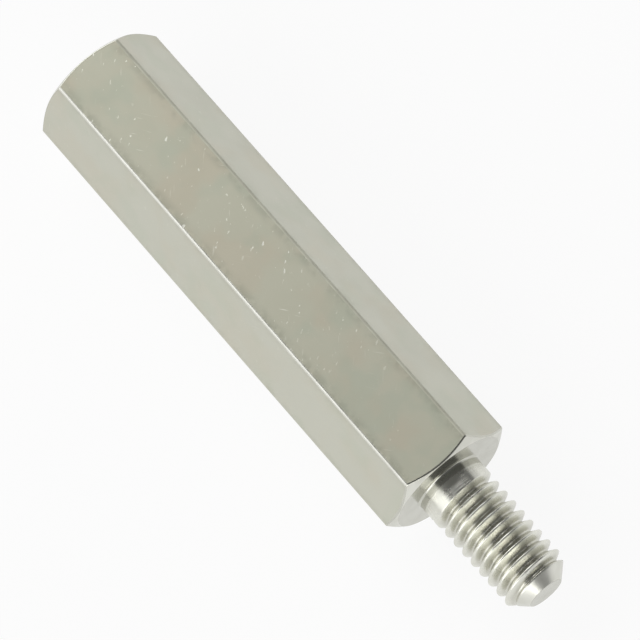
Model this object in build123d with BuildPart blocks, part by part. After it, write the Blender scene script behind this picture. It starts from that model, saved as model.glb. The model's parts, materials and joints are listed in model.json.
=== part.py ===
from build123d import *
import os
from math import radians, sqrt, tan

# Male and female hex standoff, turned in one piece from drawn hexagonal brass bar.
# The axis lies along X with the threaded stud towards +X, and one flat of the hexagon faces down.
# The origin is on the axis, in the plane of the shoulder that the stud grows from.
# All sizes are in millimetres and all angles in degrees.

# Hexagonal body
across_flats = 7.0
bar_edge_radius = 0.2
body_length = 30.0

# Turned ends: a cone takes the hexagon's corners off and leaves a round face inside the flats
chamfer_angle = 30.0
shoulder_inset = 0.08
mouth_inset = 0.04

# Threaded stud, M4 as cut or rolled, a little under its nominal size
stud_length = 8.0
stud_diameter = 3.92
stud_root_radius = 0.12
stud_tip_diameter = 2.08
stud_tip_angle = 45.0

# Tapped blind hole, M4, at the size of its tapping drill
tap_drill_diameter = 3.3
drilled_depth = 12.0
drill_point_angle = 118.0
countersink_diameter = 4.3
countersink_angle = 90.0

# Worked out from the sizes above
across_corners = across_flats * 2 / sqrt(3)
corner_radius = across_corners / 2
shoulder_radius = across_flats / 2 - shoulder_inset
mouth_radius = across_flats / 2 - mouth_inset
shoulder_chamfer_length = (corner_radius - shoulder_radius) * tan(radians(chamfer_angle))
mouth_chamfer_length = (corner_radius - mouth_radius) * tan(radians(chamfer_angle))
stud_radius = stud_diameter / 2
stud_tip_radius = stud_tip_diameter / 2
stud_tip_length = (stud_radius - stud_tip_radius) / tan(radians(stud_tip_angle))
drill_radius = tap_drill_diameter / 2
drill_point_length = drill_radius / tan(radians(drill_point_angle / 2))
countersink_radius = countersink_diameter / 2
countersink_depth = (countersink_radius - drill_radius) / tan(radians(countersink_angle / 2))
mouth_x = -body_length
drilled_end_x = mouth_x + drilled_depth

with BuildPart() as standoff:
    # Length of hexagonal bar, its long edges slightly rounded as drawn
    with BuildSketch(Plane.YZ.offset(mouth_x)):
        RegularPolygon(across_flats / 2, 6, major_radius=False)
    extrude(amount=body_length)
    fillet(standoff.edges().filter_by(Axis.X), bar_edge_radius)

    # Both ends turned to a cone, which leaves a curved edge on every flat
    with BuildSketch(Plane.XZ):
        with BuildLine():
            Polyline(
                (mouth_x, 0),
                (mouth_x, mouth_radius),
                (mouth_x + mouth_chamfer_length, corner_radius),
                (-shoulder_chamfer_length, corner_radius),
                (0, shoulder_radius),
                (0, 0),
                close=True,
            )
        make_face()
    revolve(axis=Axis.X, mode=Mode.INTERSECT)

    # Stud with a conical tip, and a small radius where it meets the shoulder
    with BuildSketch(Plane.XZ):
        with BuildLine():
            Polyline(
                (0, 0),
                (0, stud_radius),
                (stud_length - stud_tip_length, stud_radius),
                (stud_length, stud_tip_radius),
                (stud_length, 0),
                close=True,
            )
        make_face()
    revolve(axis=Axis.X)
    root_edges = standoff.edges().filter_by(GeomType.CIRCLE).filter_by_position(Axis.X, 0, 0)
    fillet(root_edges.sort_by(SortBy.RADIUS)[0], stud_root_radius)

    # Blind hole with a countersunk mouth and the cone that the drill leaves at the bottom
    with BuildSketch(Plane.XZ):
        with BuildLine():
            Polyline(
                (mouth_x, 0),
                (mouth_x, countersink_radius),
                (mouth_x + countersink_depth, drill_radius),
                (drilled_end_x, drill_radius),
                (drilled_end_x + drill_point_length, 0),
                close=True,
            )
        make_face()
    revolve(axis=Axis.X, mode=Mode.SUBTRACT)

standoff.part.label = "standoff"

os.makedirs("parts", exist_ok=True)
export_step(standoff.part, "parts/standoff.step")
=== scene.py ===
import json
from collections import namedtuple
from math import atan, cos, floor, hypot, pi, radians, sin, sqrt, tan

import bpy
from mathutils import Matrix, Vector


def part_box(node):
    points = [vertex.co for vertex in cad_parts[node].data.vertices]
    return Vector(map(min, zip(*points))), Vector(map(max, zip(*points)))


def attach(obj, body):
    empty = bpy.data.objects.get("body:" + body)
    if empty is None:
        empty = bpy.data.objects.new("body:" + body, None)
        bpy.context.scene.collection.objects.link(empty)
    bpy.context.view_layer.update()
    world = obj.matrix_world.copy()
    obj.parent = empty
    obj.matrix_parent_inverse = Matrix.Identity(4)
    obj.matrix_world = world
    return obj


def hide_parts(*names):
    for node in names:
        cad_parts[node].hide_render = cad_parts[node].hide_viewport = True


# A male and female hex standoff. It lies on one flat of its hexagon, with its axis along X and its stud
# towards +X. Lengths are in metres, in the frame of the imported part. The patterns of the materials are laid
# out in millimetres, while the depths of their bumps are in metres too.

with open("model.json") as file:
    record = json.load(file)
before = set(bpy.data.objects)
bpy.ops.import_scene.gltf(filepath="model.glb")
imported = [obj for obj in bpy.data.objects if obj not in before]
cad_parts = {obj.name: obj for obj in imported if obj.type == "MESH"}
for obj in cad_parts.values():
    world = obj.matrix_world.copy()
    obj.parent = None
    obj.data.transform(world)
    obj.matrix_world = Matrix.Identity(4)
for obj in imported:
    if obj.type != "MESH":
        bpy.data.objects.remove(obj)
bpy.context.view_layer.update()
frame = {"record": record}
cad_low, cad_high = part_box("standoff")
mounts = {mount["name"]: mount for mount in frame["record"]["mounts"]}

MM = 0.001
FULL_TURN = 2 * pi
UPWARDS = FULL_TURN / 4

# Hexagonal bar, its long edges slightly rounded as drawn
SIDES = 6
SIDE_ANGLE = FULL_TURN / SIDES
APOTHEM = (cad_high.z - cad_low.z) / 2
BAR_EDGE_RADIUS = 0.2 * MM
EDGE_CENTRE = (APOTHEM - BAR_EDGE_RADIUS) / cos(SIDE_ANGLE / 2)
EDGE_HALF_ANGLE = SIDE_ANGLE / 2 - atan((APOTHEM - BAR_EDGE_RADIUS) * tan(SIDE_ANGLE / 2) / APOTHEM)
MOUTH_X = cad_low.x

# Turned ends: a cone over the hexagon's corners, a round face, and small breaks where surfaces meet
CHAMFER_SLOPE = tan(radians(30))
SHOULDER_INSET = 0.08 * MM
MOUTH_INSET = 0.04 * MM
SHOULDER_RADIUS = APOTHEM - SHOULDER_INSET
MOUTH_RADIUS = APOTHEM - MOUTH_INSET
SHOULDER_ARC_BREAK = 0.11 * MM
MOUTH_ARC_BREAK = 0.05 * MM
FACE_EDGE_BREAK = 0.03 * MM

# M4 thread: its pitch, the slope of its flanks and the rounding of its creases
PITCH = 0.7 * MM
FLANK_SLOPE = 1 / tan(radians(30))
CREST_ROUNDING = 0.05 * MM
ROOT_ROUNDING = 0.08 * MM

# Stud. Its crest and depth have the standard's shares of the pitch.
STUD_RADIUS = mounts["stud"]["dims"]["r_mm"] * MM
STUD_TIP_X = cad_high.x
STUD_TIP_RADIUS = 1.04 * MM
STUD_ROOT_RADIUS = 0.12 * MM
STUD_CREST_FLAT = PITCH / 8
STUD_THREAD_DEPTH = 0.6134 * PITCH
STUD_VALLEY_X = 0.74 * MM
STUD_FADE_START_X = 1.04 * MM
STUD_FADE_END_X = 1.17 * MM
NECK_END_X = 0.45 * MM
TIP_CREASE = 0.03 * MM
TIP_EDGE_BREAK = 0.06 * MM
TIP_INNER_RADIUS = STUD_TIP_RADIUS / 2

# Tapped hole: a drilled and countersunk blind hole, with a groove of the standard's shares of the pitch
DRILL_RADIUS = mounts["tapped_hole"]["dims"]["r_mm"] * MM
DRILL_POINT_HALF_ANGLE = radians(59)
COUNTERSINK_RADIUS = 2.15 * MM
COUNTERSINK_DEPTH = COUNTERSINK_RADIUS - DRILL_RADIUS
DRILLED_END_X = MOUTH_X + COUNTERSINK_DEPTH + mounts["tapped_hole"]["dims"]["length_mm"] * MM
DRILL_POINT_X = DRILLED_END_X + DRILL_RADIUS / tan(DRILL_POINT_HALF_ANGLE)
TAPPED_CREST_FLAT = PITCH / 4
TAPPED_THREAD_DEPTH = 0.5413 * PITCH
TAPPED_DEPTH = 10.2 * MM
TAPPED_END_X = MOUTH_X + TAPPED_DEPTH
TAPPED_FADE_LENGTH = 1.2 * MM

# Fineness of the skin. Points that support a rounding keep the shading beside it straight.
BREAK_STEPS = 4
EDGE_STEPS = 4
FLAT_STEPS = 22
BODY_SPANS = 20
SUPPORT_ANGLE = radians(0.35)
SUPPORT_LENGTH = 0.02 * MM
END_REACH = 0.8 * MM
BODY_START_X = MOUTH_X + END_REACH
BODY_END_X = -END_REACH

# Rows of points along the threads, as shares of the pitch from the middle of a crest to that of a valley
STUD_ROWS = (0, 0.03, 0.06, 0.09, 0.13, 0.2, 0.28, 0.35, 0.4, 0.45, 0.5)
TAPPED_ROWS = (0, 0.06, 0.12, 0.18, 0.3, 0.4, 0.45, 0.5)
ROWS_MARGIN = 0.08 * MM
STUD_ROWS_END_X = STUD_TIP_X - ROWS_MARGIN
TAPPED_ROWS_START_X = MOUTH_X + ROWS_MARGIN
ROW_SNAP = 0.01 * MM
SAME_PLACE = 1e-9


def from_bar_edge(angle):
    """Angle to the bar's nearest edge. The first edge stands at +Y, and one at each side's angle from it."""
    return SIDE_ANGLE / 2 - abs(angle % SIDE_ANGLE - SIDE_ANGLE / 2)


def bar_radius(angle):
    """Distance from the axis to the bar's surface."""
    from_edge = from_bar_edge(angle)
    if from_edge >= EDGE_HALF_ANGLE:
        return APOTHEM / cos(SIDE_ANGLE / 2 - from_edge)
    return EDGE_CENTRE * cos(from_edge) + sqrt(BAR_EDGE_RADIUS ** 2 - (EDGE_CENTRE * sin(from_edge)) ** 2)


def column_angles():
    """Angles round the axis of the skin's columns, close together where the bar's edges are rounded."""
    edge = [EDGE_HALF_ANGLE * step / EDGE_STEPS for step in range(EDGE_STEPS + 1)]
    edge.append(EDGE_HALF_ANGLE + SUPPORT_ANGLE)
    span = SIDE_ANGLE - 2 * edge[-1]
    flat = [edge[-1] + span * step / FLAT_STEPS for step in range(1, FLAT_STEPS)]
    sector = edge + flat + [SIDE_ANGLE - angle for angle in reversed(edge[1:])]
    return [side * FULL_TURN / SIDES + angle for side in range(SIDES) for angle in sector]


def soft_min(a, b, blend):
    """The smaller of two heights, with the crease between them rounded over the blend."""
    near = max(blend - abs(a - b), 0) / blend
    return min(a, b) - near * near * blend / 4


def soft_max(a, b, blend):
    """The larger of two heights, rounded in the same way."""
    return -soft_min(-a, -b, blend)


def ramp(value, start, end):
    """0 before the start, 1 after the end, and a smooth rise between."""
    share = min(max((value - start) / (end - start), 0), 1)
    return share * share * (3 - 2 * share)


def groove_depth(x, angle, valley_x, crest_flat, full_depth, strength):
    """Depth of a right-hand groove. strength(x) fades it where the tool goes in or out."""
    turns = angle / FULL_TURN
    nearest = valley_x + PITCH * (floor((x - valley_x) / PITCH - turns + 0.5) + turns)
    flank = (PITCH / 2 - crest_flat / 2 - abs(x - nearest)) * FLANK_SLOPE
    lifted = flank - (1 - strength(nearest)) * PITCH / 2 * FLANK_SLOPE
    return soft_max(soft_min(lifted, full_depth, ROOT_ROUNDING), 0, CREST_ROUNDING)


def stud_strength(valley_x):
    """The stud's groove sets in beside the plain neck."""
    return ramp(valley_x, STUD_FADE_START_X, STUD_FADE_END_X)


def stud_radius(x, angle):
    """The stud's skin: crests and grooves, cut off by the cone at its tip."""
    depth = groove_depth(x, angle, STUD_VALLEY_X, STUD_CREST_FLAT, STUD_THREAD_DEPTH, stud_strength)
    return soft_min(STUD_RADIUS - depth, STUD_TIP_RADIUS + STUD_TIP_X - x, TIP_CREASE)


def stud_zone(x, radius):
    """The zone of a place on the stud's skin, whose cone at the tip is a turned surface."""
    return "cones" if radius > STUD_TIP_RADIUS + STUD_TIP_X - x - SAME_PLACE else "thread"


def tapped_strength(valley_x):
    """The hole's groove fades away at the end of the tapped depth."""
    return 1 - ramp(valley_x, TAPPED_END_X - TAPPED_FADE_LENGTH, TAPPED_END_X)


def tapped_radius(x, angle):
    """The tapped hole's skin: grooves cut outwards into the drilled wall, opened by the countersink."""
    depth = groove_depth(x, angle, MOUTH_X, TAPPED_CREST_FLAT, TAPPED_THREAD_DEPTH, tapped_strength)
    return soft_max(DRILL_RADIUS + depth, COUNTERSINK_RADIUS + MOUTH_X - x, TIP_CREASE)


# A corner of a profile: its place, the radius that rounds it, and the zone of the stretch that follows
Corner = namedtuple("Corner", "x radius rounding zone")


def rounded(corners):
    """A profile with rounded corners, as places (x, radius, zone of the stretch that follows)."""
    places = [Vector((corner.x, corner.radius)) for corner in corners]
    reaches = [0.0]
    for before, here, after, corner in zip(places, places[1:], places[2:], corners[1:]):
        reaches.append(corner.rounding / tan((before - here).angle(after - here) / 2))
    reaches.append(0.0)
    profile = [(*places[0], corners[0].zone)]
    for i in range(1, len(places) - 1):
        rounding, zone_before, zone_after = corners[i].rounding, corners[i - 1].zone, corners[i].zone
        sides = []
        for other in (i - 1, i + 1):
            along = places[other] - places[i]
            free = along.length - reaches[i] - reaches[other]
            direction = along.normalized()
            start = places[i] + direction * reaches[i]
            # On a short stretch a supporting point stands a third of the way along
            sides.append((start, start + direction * min(SUPPORT_LENGTH, free / 3), direction))
        (start, start_support, back), (end, end_support, onward) = sides
        centre = places[i] + (back + onward).normalized() * rounding / sin(back.angle(onward) / 2)
        profile += [(*start_support, zone_before), (*start, "turned")]
        for step in range(1, BREAK_STEPS):
            chord = start.lerp(end, step / BREAK_STEPS)
            profile.append((*(centre + (chord - centre).normalized() * rounding), "turned"))
        profile += [(*end, zone_after), (*end_support, zone_after)]
    profile.append((*places[-1], corners[-1].zone))
    return profile


def row_turns(low, high, crest_x, rows):
    """Where a thread's rows stand, in turns from a crest, with a turn to spare at either end."""
    shares = list(rows) + [1 - share for share in reversed(rows[1:-1])]
    first = floor((low - crest_x) / PITCH) - 1
    last = floor((high - crest_x) / PITCH) + 2
    return [turn + share for turn in range(first, last) for share in shares] + [last]


class Skin:
    """The closed skin: rings of points round the axis, from the drill point to the stud's tip."""

    def __init__(self, zones):
        self.angles = column_angles()
        self.zones = zones
        self.points = []
        self.faces = []
        self.face_zones = []

    def point(self, x, radius, angle):
        """Adds a point and gives its number."""
        self.points.append((x, radius * cos(angle), radius * sin(angle)))
        return len(self.points) - 1

    def ring(self, places):
        """A ring of points, from a place for each column whose first two values are x and the radius."""
        return [self.point(place[0], place[1], angle) for place, angle in zip(places, self.angles)]

    def round_ring(self, *place):
        """A ring with the same x and radius in every column."""
        return self.ring([place] * len(self.angles))

    def ring_x(self, ring):
        """Where a flat ring stands along the axis."""
        return self.points[ring[0]][0]

    def face(self, corners, zone):
        """One face. Corners that fall together count once, and a face without area is left out."""
        kept = [corner for i, corner in enumerate(corners) if corner != corners[i - 1]]
        if len(set(kept)) > 2:
            self.faces.append(kept)
            self.face_zones.append(self.zones.index(zone))

    def join(self, ring_a, ring_b, zone):
        """Faces between two rings. zone is one name, or one for each column."""
        for j in range(len(ring_a)):
            here = zone if isinstance(zone, str) else zone[j - 1]
            self.face([ring_a[j - 1], ring_a[j], ring_b[j], ring_b[j - 1]], here)

    def cap(self, ring, x, zone, first=False):
        """Closes a ring with a fan to a point on the axis."""
        tip = self.point(x, 0, 0)
        for j in range(len(ring)):
            pair = [ring[j], ring[j - 1]] if first else [ring[j - 1], ring[j]]
            self.face(pair + [tip], zone)

    def thread_row(self, turn, crest_x, low_ring, high_ring, radius_at):
        """One row of a thread. Where it would pass the ring at either end it takes that ring's points."""
        lowest = self.ring_x(low_ring) + ROW_SNAP
        highest = self.ring_x(high_ring) - ROW_SNAP
        row = []
        for low_point, high_point, angle in zip(low_ring, high_ring, self.angles):
            x = crest_x + PITCH * (turn + angle / FULL_TURN)
            if x < lowest:
                row.append(low_point)
            elif x > highest:
                row.append(high_point)
            else:
                row.append(self.point(x, radius_at(x, angle), angle))
        return row

    def thread(self, ring_a, ring_b, crest_x, rows, radius_at, zone_at):
        """A right-hand thread between two round rings, in rows that follow it.

        A crest's middle crosses the first column at crest_x. radius_at(x, angle) gives the skin's distance
        from the axis, and zone_at(x, radius) the zone of a face there.
        """
        forwards = self.ring_x(ring_b) > self.ring_x(ring_a)
        low_ring, high_ring = (ring_a, ring_b) if forwards else (ring_b, ring_a)
        turns = row_turns(self.ring_x(low_ring), self.ring_x(high_ring), crest_x, rows)
        grid = [self.thread_row(turn, crest_x, low_ring, high_ring, radius_at) for turn in turns]
        per_turn = 2 * (len(rows) - 1)
        for i in range(len(grid) - 1):
            columns = list(zip(grid[i], grid[i + 1]))
            # The last column meets the first one a turn further on
            if i + per_turn + 1 < len(grid):
                columns.append((grid[i + per_turn][0], grid[i + per_turn + 1][0]))
            for (near_a, far_a), (near_b, far_b) in zip(columns, columns[1:]):
                corners = [near_a, near_b, far_b, far_a]
                x, y, z = self.points[near_a]
                self.face(corners if forwards else corners[::-1], zone_at(x, hypot(y, z)))

    def mesh(self, name, materials):
        """The skin as a smooth mesh, with a material for each zone."""
        mesh = bpy.data.meshes.new(name)
        mesh.from_pydata(self.points, [], self.faces)
        for zone in self.zones:
            mesh.materials.append(materials[zone])
        mesh.polygons.foreach_set("material_index", self.face_zones)
        mesh.polygons.foreach_set("use_smooth", [True] * len(self.faces))
        mesh.validate()
        mesh.update()
        return mesh


def body_profile(angle):
    """Profile of the outside in one column, from the countersink over the bar to the stud's neck."""
    radius = bar_radius(angle)
    mouth_arc_x = MOUTH_X + (radius - MOUTH_RADIUS) * CHAMFER_SLOPE
    shoulder_arc_x = (SHOULDER_RADIUS - radius) * CHAMFER_SLOPE
    mouth_end = rounded([
        Corner(TAPPED_ROWS_START_X, COUNTERSINK_RADIUS + MOUTH_X - TAPPED_ROWS_START_X, 0, "bore"),
        Corner(MOUTH_X, COUNTERSINK_RADIUS, FACE_EDGE_BREAK, "turned"),
        Corner(MOUTH_X, MOUTH_RADIUS, FACE_EDGE_BREAK, "cones"),
        Corner(mouth_arc_x, radius, MOUTH_ARC_BREAK, "bar"),
        Corner(BODY_START_X, radius, 0, "bar"),
    ])
    shoulder_end = rounded([
        Corner(BODY_END_X, radius, 0, "bar"),
        Corner(shoulder_arc_x, radius, SHOULDER_ARC_BREAK, "cones"),
        Corner(0, SHOULDER_RADIUS, FACE_EDGE_BREAK, "turned"),
        Corner(0, STUD_RADIUS, STUD_ROOT_RADIUS, "turned"),
        Corner(NECK_END_X, STUD_RADIUS, 0, "turned"),
    ])
    span = (BODY_END_X - BODY_START_X) / BODY_SPANS
    middle = [(BODY_START_X + span * step, radius, "bar") for step in range(1, BODY_SPANS)]
    return mouth_end + middle + shoulder_end


def bar_zone(angle):
    """The zone of the bar's skin at an angle. Its edges are dull on the +Y side and bright on the other."""
    if from_bar_edge(angle) < EDGE_HALF_ANGLE:
        return "dull_edges" if cos(angle) > 0 else "bright_edges"
    return "top_flat" if abs(angle - UPWARDS) < SIDE_ANGLE / 2 else "flats"


def add_drilled_hole(skin):
    """The hole's plain end, from the drill's point to where the thread ends. Gives the ring there."""
    drilled_end = skin.round_ring(DRILLED_END_X, DRILL_RADIUS)
    tapped_end = skin.round_ring(TAPPED_END_X, DRILL_RADIUS)
    skin.cap(drilled_end, DRILL_POINT_X, "bore", first=True)
    skin.join(drilled_end, tapped_end, "bore")
    return tapped_end


def add_body(skin):
    """Mouth, bar, shoulder and neck. Gives the rings at the countersink and at the neck."""
    column_starts = [skin.angles[-1] - FULL_TURN] + skin.angles
    bar_zones = [bar_zone((start + end) / 2 % FULL_TURN) for start, end in zip(column_starts, skin.angles)]
    profiles = [body_profile(angle) for angle in skin.angles]
    rings = [skin.ring(places) for places in zip(*profiles)]
    for near, far, (x, radius, zone) in zip(rings, rings[1:], profiles[0]):
        skin.join(near, far, bar_zones if zone == "bar" else zone)
    return rings[0], rings[-1]


def add_tip(skin):
    """The end of the stud's cone and its end face. Gives the ring where the thread ends."""
    profile = rounded([
        Corner(STUD_ROWS_END_X, STUD_TIP_RADIUS + STUD_TIP_X - STUD_ROWS_END_X, 0, "cones"),
        Corner(STUD_TIP_X, STUD_TIP_RADIUS, TIP_EDGE_BREAK, "turned"),
        Corner(STUD_TIP_X, TIP_INNER_RADIUS, 0, "turned"),
    ])
    rings = [skin.round_ring(*place) for place in profile]
    for near, far, (x, radius, zone) in zip(rings, rings[1:], profile):
        skin.join(near, far, zone)
    skin.cap(rings[-1], STUD_TIP_X, "turned")
    return rings[0]


def standoff_mesh(materials):
    """The whole standoff as one closed mesh. materials has a material for each zone."""
    skin = Skin(list(materials))
    tapped_end = add_drilled_hole(skin)
    countersink, neck = add_body(skin)
    tip = add_tip(skin)
    skin.thread(tapped_end, countersink, MOUTH_X + PITCH / 2, TAPPED_ROWS, tapped_radius,
                lambda x, radius: "bore")
    skin.thread(neck, tip, STUD_VALLEY_X + PITCH / 2, STUD_ROWS, stud_radius, stud_zone)
    return skin.mesh("standoff", materials)


def add_node(tree, kind, inputs=None, **settings):
    """Adds a shader node. An input is a value, or another node's output."""
    node = tree.nodes.new(kind)
    for name, value in settings.items():
        setattr(node, name, value)
    for name, value in (inputs or {}).items():
        if isinstance(value, bpy.types.NodeSocket):
            tree.links.new(value, node.inputs[name])
        else:
            node.inputs[name].default_value = value
    return node


def position_in_mm(tree):
    """The place on the skin, in millimetres from the part's origin."""
    coordinates = add_node(tree, "ShaderNodeTexCoord")
    scaled = add_node(tree, "ShaderNodeVectorMath", {0: coordinates.outputs["Object"], "Scale": 1 / MM},
                      operation="SCALE")
    return scaled.outputs["Vector"]


def marks_space(tree, place, length=1, width=1, turn=0, shift=0):
    """The place in units of one mark's length and width, with the marks turned by an angle in degrees."""
    inputs = {"Vector": place, "Location": (shift, 0, 0), "Rotation": (0, 0, radians(turn)),
              "Scale": (length, width, 1)}
    return add_node(tree, "ShaderNodeMapping", inputs, vector_type="TEXTURE").outputs["Vector"]


def noise(tree, place, per_mm=1.0, detail=2.0):
    """Smooth noise between 0 and 1. In a space of marks its fineness is per mark."""
    texture = add_node(tree, "ShaderNodeTexNoise", {"Vector": place, "Scale": per_mm, "Detail": detail})
    return texture.outputs["Fac"]


def between(tree, value, start, full, low=0.0, high=1.0):
    """low where the value is under start, high where it is over full, and a smooth change between."""
    step = add_node(tree, "ShaderNodeMapRange", {"Value": value, "From Min": start, "From Max": full,
                                                 "To Min": low, "To Max": high},
                    interpolation_type="SMOOTHSTEP")
    return step.outputs["Result"]


def combined(tree, operation, a, b):
    """One number worked out from two."""
    return add_node(tree, "ShaderNodeMath", {0: a, 1: b}, operation=operation).outputs["Value"]


# The colour sockets of a mix node, by number, because its other sockets share their names
MIX_BASE = 6
MIX_TINT = 7
MIX_RESULT = 2


def tinted(tree, amount, base, tint):
    """A colour between the base and the tint."""
    inputs = {"Factor": amount, MIX_BASE: base, MIX_TINT: tint}
    return add_node(tree, "ShaderNodeMix", inputs, data_type="RGBA").outputs[MIX_RESULT]


def bumped(tree, height, depth, below=None):
    """A bump of the given real depth, on top of another bump if there is one."""
    inputs = {"Height": height, "Distance": depth, "Strength": 1.0}
    if below is not None:
        inputs["Normal"] = below
    return add_node(tree, "ShaderNodeBump", inputs).outputs["Normal"]


def distance_along(tree, place):
    """Distance along the axis."""
    return add_node(tree, "ShaderNodeSeparateXYZ", {"Vector": place}).outputs["X"]


def distance_from_axis(tree, place):
    """Distance from the axis."""
    across = add_node(tree, "ShaderNodeVectorMath", {0: place, 1: (0, 1, 1)}, operation="MULTIPLY")
    length = add_node(tree, "ShaderNodeVectorMath", {0: across.outputs["Vector"]}, operation="LENGTH")
    return length.outputs["Value"]


def angle_round_axis(tree, place):
    """Angle round the axis, from +Y."""
    parts = add_node(tree, "ShaderNodeSeparateXYZ", {"Vector": place})
    return combined(tree, "ARCTAN2", parts.outputs["Z"], parts.outputs["Y"])


def finish_metal(tree, colour, roughness, normal):
    """Ends a metal's node tree. colour, roughness and normal are outputs of its texture nodes."""
    shader = add_node(tree, "ShaderNodeBsdfPrincipled", {"Base Color": colour, "Roughness": roughness,
                                                         "Normal": normal, "Metallic": 1.0})
    output = add_node(tree, "ShaderNodeOutputMaterial")
    tree.links.new(shader.outputs["BSDF"], output.inputs["Surface"])


def empty_material(name):
    """A material with no nodes yet."""
    material = bpy.data.materials.new(name)
    material.use_nodes = True
    material.node_tree.nodes.clear()
    return material


# Colours of the nickel plate by the state of its surface, and of what stains or marks it. The colours of
# smudges and of grime are also painted shade, in the thread's roots and beside the bar's edges.
DRAWN_NICKEL = (0.595, 0.595, 0.515, 1)
AGED_NICKEL = (0.59, 0.585, 0.48, 1)
TURNED_NICKEL = (0.60, 0.60, 0.54, 1)
ROLLED_NICKEL = (0.8, 0.8, 0.73, 1)
SATIN_NICKEL = (0.72, 0.72, 0.63, 1)
WORN_NICKEL = (0.74, 0.74, 0.68, 1)
POLISHED_NICKEL = (0.75, 0.75, 0.69, 1)
# Smudges, and painted shade in the roots of the stud's thread
SMUDGE_AND_SHADE_NICKEL = (0.44, 0.43, 0.36, 1)
SPECK_NICKEL = (0.86, 0.86, 0.78, 1)
WARM_STAIN = (0.60, 0.55, 0.44, 1)
GREEN_STAIN = (0.52, 0.555, 0.455, 1)
# Grime, and painted shade beside the bar's edges and the mouth's cone
GRIME_AND_SHADE = (0.33, 0.34, 0.27, 1)

# Finishes by zone: of the bar's flats, and of its rounded edges and the turned surfaces. Stain, wear, grime
# with painted shade, and painted shade in the thread's roots are shares of 1.
DRAWN_FINISHES = {
    "flats": {"nickel": DRAWN_NICKEL, "roughness": 0.42, "stain": 0.25, "wear": 0.12, "grime_and_shade": 0.15},
    "top_flat": {"nickel": AGED_NICKEL, "roughness": 0.56, "stain": 0.5, "wear": 1.0, "grime_and_shade": 0.4},
}
TURNED_FINISHES = {
    "bright_edges": {"nickel": POLISHED_NICKEL, "roughness": 0.3, "dint_depth": 0.0015 * MM},
    "dull_edges": {"nickel": SATIN_NICKEL, "roughness": 0.8, "dint_depth": 0.006 * MM},
    "turned": {"nickel": TURNED_NICKEL, "roughness": 0.22, "dint_depth": 0.0006 * MM,
               "mark_depth": 0.0006 * MM},
    "cones": {"nickel": WORN_NICKEL, "roughness": 0.32, "dint_depth": 0.001 * MM,
              "mark_depth": 0.0015 * MM},
    "thread": {"nickel": ROLLED_NICKEL, "roughness": 0.28, "dint_depth": 0.001 * MM,
               "mark_depth": 0.009 * MM, "root_shade": 0.45},
    "bore": {"nickel": DRAWN_NICKEL, "roughness": 0.25, "dint_depth": 0.001 * MM,
             "mark_depth": 0.001 * MM},
}

# Noises, by their fineness per millimetre and their detail
DRAWN_GRAIN = {"per_mm": 7.0, "detail": 3.0}
SPECK_GRAIN = {"detail": 3.0}
BLOTCH_GRAIN = {"per_mm": 1.6, "detail": 6.0}
TOOL_MARKS_PER_MM = 14.0
DINTS_PER_MM = 4.0
WARM_STAINS_PER_MM = 0.35
GREEN_STAINS_PER_MM = 0.45
GREEN_STAINS_SHIFT = 31
WEAR_PER_MM = 0.35
SMUDGES_PER_MM = 0.9
DRAWN_GLOSS_PER_MM = 0.5
TURNED_GLOSS_PER_MM = 1.4

# Levels of a noise or a distance where something sets in and where it is full, and what it then is
WARM_STAIN_LEVELS = {"start": 0.45, "full": 0.66}
GREEN_STAIN_LEVELS = {"start": 0.48, "full": 0.66}
BLOTCH_LEVELS = {"start": 0.4, "full": 0.62, "low": 0.2}
# Grime with painted shade, in blotches beside the bar's edges, by distance from an edge in millimetres
EDGE_GRIME_AND_SHADE_LEVELS = {"start": 0.05, "full": 0.6, "low": 1.0, "high": 0.0}
WEAR_LEVELS = {"start": 0.38, "full": 0.6}
WEAR_ALONG_LEVELS = {"start": -13, "full": -5, "low": 1.0, "high": 0.3}
SPECK_LEVELS = {"start": 0.655, "full": 0.695}
SCRATCH_LEVELS = {"start": 0.685, "full": 0.76, "high": 0.6}
SMUDGE_LEVELS = {"start": 0.35, "full": 0.65}
# Painted shade in the roots of the stud's thread, by distance from the axis in millimetres
ROOT_SHADE_LEVELS = {"start": 1.6, "full": 1.9, "high": 0.0}
DRAWN_GLOSS_LEVELS = {"start": 0.3, "full": 0.7}
TURNED_GLOSS_LEVELS = {"start": 0.35, "full": 0.65}
QUIET_WEAR = 0.2
SMUDGE_AMOUNT = 0.2
# The line of painted shade beside the mouth's cone: how dark, and how wide in millimetres
MOUTH_SHADE_AMOUNT = 1.5
MOUTH_SHADE_WIDTH = 0.12

# Shapes of the marks on worn bar. A turn is in degrees from the axis.
SPECK_SHAPE = {"length": 0.45, "width": 0.24, "turn": 50}
SCRATCH_SHAPES = (
    {"length": 1.8, "width": 0.16, "turn": 40},
    {"length": 1.8, "width": 0.16, "turn": -35, "shift": 40},
)
UNROLL_RADIUS = 3.7

# Bumps and changes of roughness
DRAWN_GRAIN_DEPTH = 0.003 * MM
WEAR_MARK_DEPTH = 0.003 * MM
DRAWN_SMOOTHER = 0.02
DRAWN_ROUGHER = 0.03
TURNED_UNEVENNESS = 0.025


def unrolled(tree, place):
    """The place with the skin rolled out flat: along the axis, and round it at the bar's mean radius."""
    around = combined(tree, "MULTIPLY", angle_round_axis(tree, place), UNROLL_RADIUS)
    inputs = {"X": distance_along(tree, place), "Y": around}
    return add_node(tree, "ShaderNodeCombineXYZ", inputs).outputs["Vector"]


def stained(tree, place, nickel, stain):
    """The nickel's colour with soft clouds of a warm and of a green stain."""
    moved = marks_space(tree, place, shift=GREEN_STAINS_SHIFT)
    warm_clouds = between(tree, noise(tree, place, WARM_STAINS_PER_MM), **WARM_STAIN_LEVELS)
    green_clouds = between(tree, noise(tree, moved, GREEN_STAINS_PER_MM), **GREEN_STAIN_LEVELS)
    warm = tinted(tree, combined(tree, "MULTIPLY", warm_clouds, stain), nickel, WARM_STAIN)
    return tinted(tree, combined(tree, "MULTIPLY", green_clouds, stain), warm, GREEN_STAIN)


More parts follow.
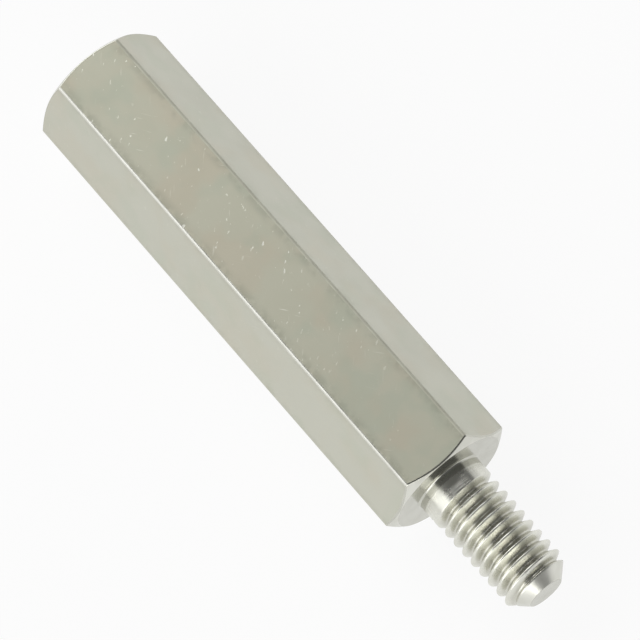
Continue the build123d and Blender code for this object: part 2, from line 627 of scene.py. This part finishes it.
def edge_grime_and_shade(tree, place, amount):
    """How dark it gets: grime and painted shade in blotches beside the bar's edges, and a line of painted
    shade beside the mouth's cone.
    """
    # Grime and painted shade in blotches that thicken towards the bar's edges
    to_edge = combined(tree, "PINGPONG", angle_round_axis(tree, place), SIDE_ANGLE / 2)
    near_edge = between(tree, combined(tree, "MULTIPLY", to_edge, UNROLL_RADIUS), **EDGE_GRIME_AND_SHADE_LEVELS)
    blotches = between(tree, noise(tree, place, **BLOTCH_GRAIN), **BLOTCH_LEVELS)
    uneven = combined(tree, "MULTIPLY", near_edge, blotches)

    # Along the cone, the distance along the axis less the rise of the cone stays the same
    rise = combined(tree, "MULTIPLY", distance_from_axis(tree, place), CHAMFER_SLOPE)
    cone_x = (MOUTH_X - MOUTH_RADIUS * CHAMFER_SLOPE) / MM
    from_cone = combined(tree, "SUBTRACT", distance_along(tree, place), rise)
    # Painted shade: a dark line on the flats beside the mouth's cone
    mouth_shade = between(tree, from_cone, cone_x, cone_x + MOUTH_SHADE_WIDTH, MOUTH_SHADE_AMOUNT, 0.0)
    return combined(tree, "MULTIPLY", combined(tree, "MAXIMUM", uneven, mouth_shade), amount)


def wear_marks(tree, place, wear):
    """Patches of ragged specks and of fine scratches that run two ways. They are fainter near the stud."""
    flat_place = unrolled(tree, place)
    patches = between(tree, noise(tree, flat_place, WEAR_PER_MM), low=QUIET_WEAR * wear, high=wear,
                      **WEAR_LEVELS)
    along = between(tree, distance_along(tree, place), **WEAR_ALONG_LEVELS)
    dents = noise(tree, marks_space(tree, flat_place, **SPECK_SHAPE), **SPECK_GRAIN)
    marks = between(tree, dents, **SPECK_LEVELS)
    for shape in SCRATCH_SHAPES:
        streaks = noise(tree, marks_space(tree, flat_place, **shape))
        marks = combined(tree, "MAXIMUM", marks, between(tree, streaks, **SCRATCH_LEVELS))
    return combined(tree, "MULTIPLY", marks, combined(tree, "MULTIPLY", patches, along))


def drawn_nickel(zone, nickel, roughness, stain, wear, grime_and_shade):
    """Plate over drawn bar: satin, with soft stains, grime and painted shade by its edges, and light marks
    where it is worn.
    """
    material = empty_material("nickel_" + zone)
    tree = material.node_tree
    place = position_in_mm(tree)
    marks = wear_marks(tree, place, wear)
    # Darkened by grime with painted shade beside the edges, and by painted shade beside the mouth's cone
    colour = tinted(tree, edge_grime_and_shade(tree, place, grime_and_shade), stained(tree, place, nickel, stain), GRIME_AND_SHADE)
    normal = bumped(tree, noise(tree, place, **DRAWN_GRAIN), DRAWN_GRAIN_DEPTH)
    patchy = between(tree, noise(tree, place, DRAWN_GLOSS_PER_MM), low=roughness - DRAWN_SMOOTHER,
                     high=roughness + DRAWN_ROUGHER, **DRAWN_GLOSS_LEVELS)
    finish_metal(tree, tinted(tree, marks, colour, SPECK_NICKEL), patchy,
                 bumped(tree, marks, -WEAR_MARK_DEPTH, normal))
    return material


def turned_nickel(zone, nickel, roughness, dint_depth, mark_depth=0.0, root_shade=0.0):
    """Plate over a turned surface: smudged, with faint dints and marks of the tool round the axis.

    A rounded edge of the bar has it without the marks. Its last argument is how much painted shade darkens it
    towards the root of the stud's thread.
    """
    material = empty_material("nickel_" + zone)
    tree = material.node_tree
    place = position_in_mm(tree)
    radius = distance_from_axis(tree, place)
    path = combined(tree, "ADD", radius, distance_along(tree, place))
    tool_marks = add_node(tree, "ShaderNodeTexNoise", {"W": path, "Scale": TOOL_MARKS_PER_MM},
                          noise_dimensions="1D")
    normal = bumped(tree, tool_marks.outputs["Fac"], mark_depth)
    normal = bumped(tree, noise(tree, place, DINTS_PER_MM), dint_depth, normal)
    smudges = between(tree, noise(tree, place, SMUDGES_PER_MM), **SMUDGE_LEVELS)
    shade = tinted(tree, combined(tree, "MULTIPLY", smudges, SMUDGE_AMOUNT), nickel, SMUDGE_AND_SHADE_NICKEL)
    # Painted shade: the colour darkens towards the root of the stud's thread, where its grooves are in shade
    shade = tinted(tree, between(tree, radius, low=root_shade, **ROOT_SHADE_LEVELS), shade, SMUDGE_AND_SHADE_NICKEL)
    patchy = between(tree, noise(tree, place, TURNED_GLOSS_PER_MM), low=roughness - TURNED_UNEVENNESS,
                     high=roughness + TURNED_UNEVENNESS, **TURNED_GLOSS_LEVELS)
    finish_metal(tree, shade, patchy, normal)
    return material


def build_standoff():
    """The standoff's skin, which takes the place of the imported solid."""
    materials = {zone: drawn_nickel(zone, **finish) for zone, finish in DRAWN_FINISHES.items()}
    materials.update({zone: turned_nickel(zone, **finish) for zone, finish in TURNED_FINISHES.items()})
    standoff = bpy.data.objects.new("standoff_skin", standoff_mesh(materials))
    bpy.context.scene.collection.objects.link(standoff)
    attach(standoff, "root")
    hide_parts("standoff")


# Floor and light. Directions are an azimuth from +X towards +Y and an elevation, both in degrees.
FLOOR_HALF_WIDTH = 1.5
FLOOR_SHADE = (0.8, 0.8, 0.79, 1)
WHITE = (1, 1, 1, 1)
CAMERA_GLOW = 0.9
MIRROR_GLOW = 0.78
WORLD_LEVEL = 0.125
BACKDROP_LEVEL = 0.95
SOFTBOXES = {
    "side_bank": dict(azimuth=-95, elevation=27, distance=1.0, width=2.6, height=0.85, radiance=1.2),
    "front_bank": dict(azimuth=-33, elevation=12, distance=0.9, width=0.8, height=0.36, radiance=2.0),
    "back_bank": dict(azimuth=178, elevation=43, distance=1.0, width=0.9, height=0.66, radiance=1.7),
    "back_fill": dict(azimuth=178, elevation=40, distance=1.1, width=2.2, height=0.9, radiance=0.8),
    "tip_bank": dict(azimuth=5, elevation=18, distance=1.0, width=0.8, height=0.35, radiance=0.2),
    "far_bank": dict(azimuth=95, elevation=11, distance=1.0, width=1.8, height=0.36, radiance=0.6),
}
LIGHT_TARGET = Vector((-11, 0, 0)) * MM


def direction(azimuth, elevation):
    """The unit vector that points that way."""
    return Vector((cos(radians(elevation)) * cos(radians(azimuth)),
                   cos(radians(elevation)) * sin(radians(azimuth)),
                   sin(radians(elevation))))


def softbox(name, azimuth, elevation, distance, width, height, radiance):
    """A rectangular lamp that faces the part. Its power is its radiance times pi times its area."""
    light = bpy.data.lights.new(name, "AREA")
    light.shape = "RECTANGLE"
    light.size = width
    light.size_y = height
    light.energy = radiance * pi * width * height
    lamp = bpy.data.objects.new(name, light)
    towards = direction(azimuth, elevation)
    lamp.location = LIGHT_TARGET + towards * distance
    lamp.rotation_euler = towards.to_track_quat("Z", "Y").to_euler()
    bpy.context.scene.collection.objects.link(lamp)


def floor_material():
    """A pale floor, which the camera and reflections see nearly white, with the part's shadow kept."""
    material = empty_material("floor")
    tree = material.node_tree
    shader = add_node(tree, "ShaderNodeBsdfDiffuse", {"Color": FLOOR_SHADE})
    white = add_node(tree, "ShaderNodeBsdfDiffuse", {"Color": WHITE})
    glow = add_node(tree, "ShaderNodeEmission", {"Color": WHITE, "Strength": 1.0})
    path = add_node(tree, "ShaderNodeLightPath")
    for ray, share in (("Is Glossy Ray", MIRROR_GLOW), ("Is Camera Ray", CAMERA_GLOW)):
        seen = add_node(tree, "ShaderNodeMixShader", {"Fac": share, 1: white.outputs[0], 2: glow.outputs[0]})
        inputs = {"Fac": path.outputs[ray], 1: shader.outputs[0], 2: seen.outputs[0]}
        shader = add_node(tree, "ShaderNodeMixShader", inputs)
    output = add_node(tree, "ShaderNodeOutputMaterial")
    tree.links.new(shader.outputs[0], output.inputs["Surface"])
    return material


def build_floor():
    """The floor under the part, level with its lowest flat."""
    half = FLOOR_HALF_WIDTH
    corners = [(x, y, cad_low.z) for x, y in ((-half, -half), (half, -half), (half, half), (-half, half))]
    mesh = bpy.data.meshes.new("floor")
    mesh.from_pydata(corners, [], [(0, 1, 2, 3)])
    mesh.materials.append(floor_material())
    floor_object = bpy.data.objects.new("floor", mesh)
    bpy.context.scene.collection.objects.link(floor_object)


def build_light():
    """Softboxes in a dim room, whose walls the camera sees as pale as the floor."""
    world = bpy.data.worlds.new("studio")
    world.use_nodes = True
    tree = world.node_tree
    tree.nodes.clear()
    room = add_node(tree, "ShaderNodeBackground", {"Color": WHITE, "Strength": WORLD_LEVEL})
    backdrop = add_node(tree, "ShaderNodeBackground", {"Color": WHITE, "Strength": BACKDROP_LEVEL})
    path = add_node(tree, "ShaderNodeLightPath")
    inputs = {"Fac": path.outputs["Is Camera Ray"], 1: room.outputs[0], 2: backdrop.outputs[0]}
    seen = add_node(tree, "ShaderNodeMixShader", inputs)
    output = add_node(tree, "ShaderNodeOutputWorld")
    tree.links.new(seen.outputs[0], output.inputs["Surface"])
    bpy.context.scene.world = world
    for name, sizes in SOFTBOXES.items():
        softbox(name, **sizes)


# Camera, where a fit to the part's outline in the photograph puts it. Lens and sensor are in millimetres.
CAMERA_TARGET = Vector((-11.37, 0.53, 0)) * MM
CAMERA_DISTANCE = 294.0 * MM
CAMERA_AZIMUTH = -13.0
CAMERA_ELEVATION = 72.2
CAMERA_ROLL = radians(27.65)
CAMERA_LENS = 310.97
SENSOR_WIDTH = 36
CLIP_START = 10 * MM
CLIP_END = 10


def build_camera():
    """The photograph's camera, turned about its line of sight by its roll."""
    camera = bpy.data.objects.new("camera", bpy.data.cameras.new("camera"))
    camera.data.lens = CAMERA_LENS
    camera.data.sensor_width = SENSOR_WIDTH
    camera.data.clip_start = CLIP_START
    camera.data.clip_end = CLIP_END
    back = direction(CAMERA_AZIMUTH, CAMERA_ELEVATION)
    level_right = Vector((0, 0, 1)).cross(back).normalized()
    level_up = back.cross(level_right)
    right = level_right * cos(CAMERA_ROLL) - level_up * sin(CAMERA_ROLL)
    turned = Matrix((right, back.cross(right), back)).transposed().to_4x4()
    camera.matrix_world = Matrix.Translation(CAMERA_TARGET + back * CAMERA_DISTANCE) @ turned
    bpy.context.scene.collection.objects.link(camera)
    bpy.context.scene.camera = camera


build_standoff()
build_floor()
build_light()
build_camera()
bpy.context.scene.view_settings.view_transform = "Standard"
